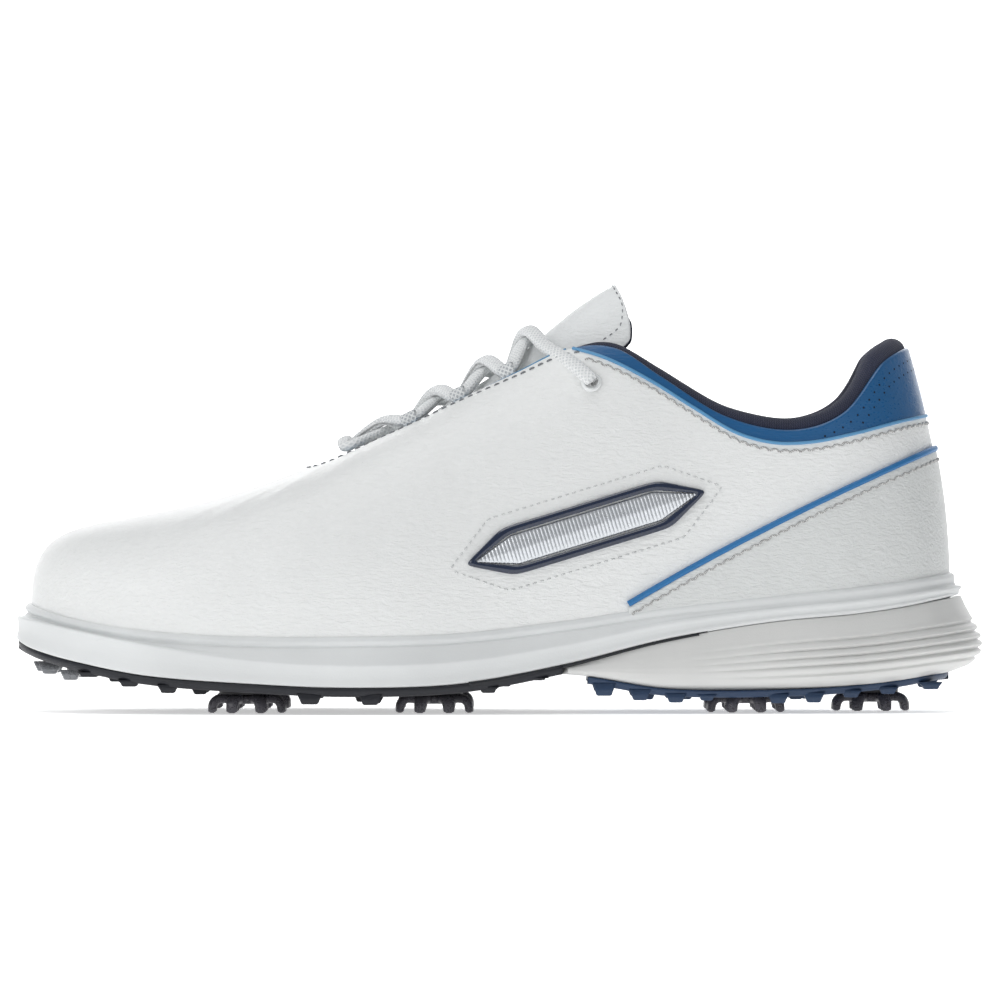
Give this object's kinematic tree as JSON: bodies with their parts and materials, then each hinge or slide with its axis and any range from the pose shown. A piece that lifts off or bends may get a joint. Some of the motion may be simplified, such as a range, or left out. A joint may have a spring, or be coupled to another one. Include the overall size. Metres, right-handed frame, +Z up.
{
  "type": "golf shoe",
  "caption": "Left white leather golf shoe with a cup sole, blue collar and heel tread, laced throat with padded tongue, and turn-lock cleats.",
  "frame": {"origin": "bottom centre of the whole shoe's box: on the ground under the middle of its length and width", "axes": "+Z up; +X from toe to heel along the longest extent; +Y towards the inner (medial) side of this left shoe; Y is the shortest extent"},
  "size_m": [0.2995, 0.1074, 0.1325],
  "materials": {
    "white_leather": "fine-grain full leather, satin, white",
    "overlay_leather": "smooth coated leather, satin, white",
    "tongue_leather": "soft grained leather, white",
    "collar_blue": "perforated coated synthetic, semi-gloss blue",
    "piping_blue": "smooth moulded piping, blue",
    "binding_blue": "woven edge binding, light blue",
    "collar_textile": "knitted textile, navy with lighter flecks",
    "lining_textile": "brushed textile lining, navy",
    "foam": "open-cell padding foam",
    "stiffener": "resin-stiffened fibre sheet",
    "board": "stitched non-woven board",
    "insole": "textile-covered moulded foam",
    "midsole_white": "moulded foam skin, satin cool white",
    "carrier_grey": "moulded foam, satin warm light grey",
    "shank": "fibre-filled plate, satin dark grey",
    "air_cushion": "clear film cushion",
    "tread_graphite": "moulded thermoplastic rubber, graphite",
    "tread_blue": "moulded thermoplastic rubber, blue",
    "toe_clear": "smoked translucent moulding",
    "cleat": "smoked translucent moulding, dark",
    "socket": "filled plastic insert",
    "lace": "woven oval lace, white",
    "loop": "woven webbing, white",
    "eyelet": "punched eyelet, white",
    "aglet": "film-wrapped lace tip",
    "emblem_rim": "moulded rim, gloss navy",
    "emblem_inlay": "ribbed metallised film, silver"
  },
  "bodies": {
    "root": {"midsole": "midsole_white", "heel_carrier": "carrier_grey", "midfoot_shank": "shank", "air_cushion": "air_cushion", "outsole_forefoot": "tread_graphite", "outsole_heel": "tread_blue", "toe_lugs": "toe_clear", "cleat_sockets": "socket", "lasting_board": "board", "insole": "insole", "vamp_quarter": "white_leather", "heel_overlay": "overlay_leather", "heel_piping": "piping_blue", "collar_panel": "collar_blue", "collar_binding": "binding_blue", "collar_foam": "foam", "collar_lining": "collar_textile", "upper_lining": "lining_textile", "heel_counter": "stiffener", "toe_puff": "stiffener", "eyestay_stiffener": "stiffener", "eyestay_underlay": "binding_blue", "lace_loops_lateral": "loop", "lace_loops_medial": "loop", "eyelet_lateral": "eyelet", "eyelet_medial": "eyelet", "lace": "lace", "lace_tail_lateral": "lace", "lace_tail_medial": "lace", "aglet_lateral": "aglet", "aglet_medial": "aglet", "emblem_rim_lateral": "emblem_rim", "emblem_inlay_lateral": "emblem_inlay", "emblem_rim_medial": "emblem_rim", "emblem_inlay_medial": "emblem_inlay"},
    "tongue": {"tongue": "tongue_leather", "tongue_foam": "foam", "tongue_lining": "collar_textile"},
    "cleat_1": {"cleat_1": "cleat"},
    "cleat_2": {"cleat_2": "cleat"},
    "cleat_3": {"cleat_3": "cleat"},
    "cleat_4": {"cleat_4": "cleat"},
    "cleat_5": {"cleat_5": "cleat"},
    "cleat_6": {"cleat_6": "cleat"},
    "cleat_7": {"cleat_7": "cleat"}
  },
  "joints": [
    {"name": "tongue_hinge", "type": "hinge", "parent": "root", "child": "tongue", "pos_m": [-0.062, 0, 0.066], "axis": [0, 1, 0], "range_deg": [0, 6], "stiffness_Nm_per_rad": 0.12, "springref_deg": -11.46},
    {"name": "cleat_1_turn", "type": "hinge", "parent": "root", "child": "cleat_1", "pos_m": [-0.077, -0.033, 0.006], "axis": [0, 0, 1], "range_deg": [-60, 0]},
    {"name": "cleat_2_turn", "type": "hinge", "parent": "root", "child": "cleat_2", "pos_m": [-0.077, 0.034, 0.006], "axis": [0, 0, 1], "range_deg": [-60, 0]},
    {"name": "cleat_3_turn", "type": "hinge", "parent": "root", "child": "cleat_3", "pos_m": [-0.0195, -0.031, 0.006], "axis": [0, 0, 1], "range_deg": [-60, 0]},
    {"name": "cleat_4_turn", "type": "hinge", "parent": "root", "child": "cleat_4", "pos_m": [-0.0195, 0.027, 0.006], "axis": [0, 0, 1], "range_deg": [-60, 0]},
    {"name": "cleat_5_turn", "type": "hinge", "parent": "root", "child": "cleat_5", "pos_m": [0.0762, -0.022, 0.006], "axis": [0, 0, 1], "range_deg": [-60, 0]},
    {"name": "cleat_6_turn", "type": "hinge", "parent": "root", "child": "cleat_6", "pos_m": [0.0762, 0.02, 0.006], "axis": [0, 0, 1], "range_deg": [-60, 0]},
    {"name": "cleat_7_turn", "type": "hinge", "parent": "root", "child": "cleat_7", "pos_m": [0.1155, 0, 0.006], "axis": [0, 0, 1], "range_deg": [-60, 0]}
  ]
}
